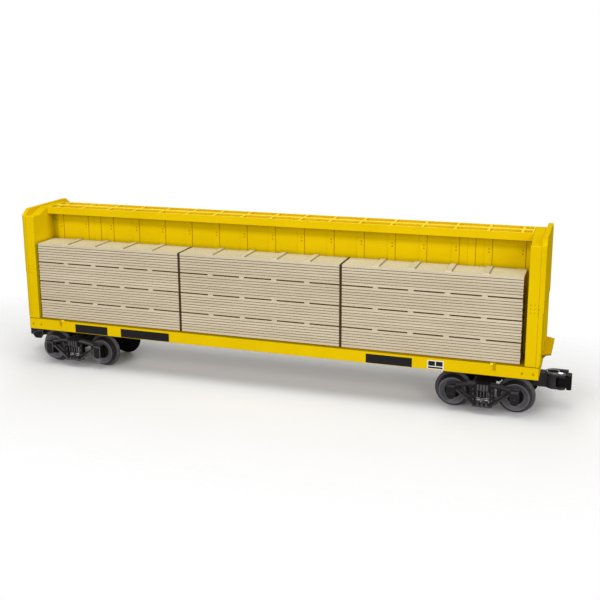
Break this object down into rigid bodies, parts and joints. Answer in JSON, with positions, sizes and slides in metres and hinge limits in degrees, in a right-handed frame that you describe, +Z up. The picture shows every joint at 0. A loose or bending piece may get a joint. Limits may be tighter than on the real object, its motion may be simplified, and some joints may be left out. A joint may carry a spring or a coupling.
{
  "type": "model lumber flat car",
  "caption": "O gauge model flat car with end bulkheads, a central partition under a pocketed top chord, grooved lumber loads, swivelling sprung trucks and knuckle couplers that open.",
  "frame": {"origin": "centre of the car, at the bottom of the wheel flanges", "axes": "+X along the car towards the right-hand end in the picture, +Y across the car away from the camera, +Z up"},
  "size_m": [0.369, 0.0582, 0.1072],
  "materials": {
    "body_plastic": "satin yellow",
    "lumber": "matt tan",
    "strap": "matt dark brown",
    "black_casting": "satin black",
    "wheel_metal": "dark satin",
    "bright_steel": "bright"
  },
  "bodies": {
    "car_body": {"deck": "body_plastic", "side_sill_near": "body_plastic", "side_sill_far": "body_plastic", "end_sill_left": "body_plastic", "end_sill_right": "body_plastic", "centre_sill": "body_plastic", "body_bolster_left": "body_plastic", "body_bolster_right": "body_plastic", "bulkhead_left": "body_plastic", "bulkhead_right": "body_plastic", "end_sheet_left": "body_plastic", "end_sheet_right": "body_plastic", "platform_left": "body_plastic", "platform_right": "body_plastic", "partition_near": "body_plastic", "partition_far": "body_plastic", "top_chord": "body_plastic", "tie_downs": "body_plastic", "body_screws": "bright_steel", "brake_housing": "black_casting", "kingpin_left": "bright_steel", "kingpin_right": "bright_steel", "washer_left": "bright_steel", "washer_right": "bright_steel"},
    "load_near": {"lumber_near": "lumber", "straps_near": "strap"},
    "load_far": {"lumber_far": "lumber", "straps_far": "strap"},
    "brake_wheel": {"brake_wheel": "black_casting"},
    "truck_left": {"bolster_left": "black_casting", "sideframe_left_near": "black_casting", "sideframe_left_far": "black_casting", "springs_left": "bright_steel", "coupler_left": "black_casting", "coupler_rivets_left": "bright_steel", "knuckle_pin_left": "bright_steel"},
    "wheelset_left_outer": {"axle_left_outer": "bright_steel", "wheel_left_outer_near": "wheel_metal", "wheel_left_outer_far": "wheel_metal"},
    "wheelset_left_inner": {"axle_left_inner": "bright_steel", "wheel_left_inner_near": "wheel_metal", "wheel_left_inner_far": "wheel_metal"},
    "knuckle_left": {"knuckle_left": "black_casting"},
    "uncoupling_tab_left": {"uncoupling_tab_left": "black_casting"},
    "truck_right": {"bolster_right": "black_casting", "sideframe_right_near": "black_casting", "sideframe_right_far": "black_casting", "springs_right": "bright_steel", "coupler_right": "black_casting", "coupler_rivets_right": "bright_steel", "knuckle_pin_right": "bright_steel"},
    "wheelset_right_outer": {"axle_right_outer": "bright_steel", "wheel_right_outer_near": "wheel_metal", "wheel_right_outer_far": "wheel_metal"},
    "wheelset_right_inner": {"axle_right_inner": "bright_steel", "wheel_right_inner_near": "wheel_metal", "wheel_right_inner_far": "wheel_metal"},
    "knuckle_right": {"knuckle_right": "black_casting"},
    "uncoupling_tab_right": {"uncoupling_tab_right": "black_casting"}
  },
  "joints": [
    {"name": "load_near_slide", "type": "slide", "parent": "car_body", "child": "load_near", "axis": [0, -1, 0], "range_m": [0, 0.03]},
    {"name": "load_far_slide", "type": "slide", "parent": "car_body", "child": "load_far", "axis": [0, 1, 0], "range_m": [0, 0.03]},
    {"name": "brake_wheel_spin", "type": "hinge", "parent": "car_body", "child": "brake_wheel", "pos_m": [-0.1706, 0.01, 0.0773], "axis": [-1, 0, 0], "continuous": true},
    {"name": "truck_left_swivel", "type": "hinge", "parent": "car_body", "child": "truck_left", "pos_m": [-0.136, 0, 0.0216], "axis": [0, 0, 1], "range_deg": [-20, 20]},
    {"name": "wheelset_left_outer_roll", "type": "hinge", "parent": "truck_left", "child": "wheelset_left_outer", "pos_m": [-0.15415, 0, 0.0112], "axis": [0, 1, 0], "continuous": true},
    {"name": "wheelset_left_inner_roll", "type": "hinge", "parent": "truck_left", "child": "wheelset_left_inner", "pos_m": [-0.11785, 0, 0.0112], "axis": [0, 1, 0], "continuous": true},
    {"name": "knuckle_left_open", "type": "hinge", "parent": "truck_left", "child": "knuckle_left", "pos_m": [-0.1782, 0.0035, 0.01805], "axis": [0, 0, -1], "range_deg": [0, 36]},
    {"name": "uncoupling_tab_left_pull", "type": "hinge", "parent": "truck_left", "child": "uncoupling_tab_left", "pos_m": [-0.1725, -0.0074, 0.0162], "axis": [0, -1, 0], "range_deg": [0, 12], "stiffness_Nm_per_rad": 0.0005, "springref_deg": -11.46},
    {"name": "truck_right_swivel", "type": "hinge", "parent": "car_body", "child": "truck_right", "pos_m": [0.136, 0, 0.0216], "axis": [0, 0, 1], "range_deg": [-20, 20]},
    {"name": "wheelset_right_outer_roll", "type": "hinge", "parent": "truck_right", "child": "wheelset_right_outer", "pos_m": [0.15415, 0, 0.0112], "axis": [0, 1, 0], "continuous": true},
    {"name": "wheelset_right_inner_roll", "type": "hinge", "parent": "truck_right", "child": "wheelset_right_inner", "pos_m": [0.11785, 0, 0.0112], "axis": [0, 1, 0], "continuous": true},
    {"name": "knuckle_right_open", "type": "hinge", "parent": "truck_right", "child": "knuckle_right", "pos_m": [0.1782, -0.0035, 0.01805], "axis": [0, 0, -1], "range_deg": [0, 36]},
    {"name": "uncoupling_tab_right_pull", "type": "hinge", "parent": "truck_right", "child": "uncoupling_tab_right", "pos_m": [0.1725, 0.0074, 0.0162], "axis": [0, 1, 0], "range_deg": [0, 12], "stiffness_Nm_per_rad": 0.0005, "springref_deg": -11.46}
  ]
}
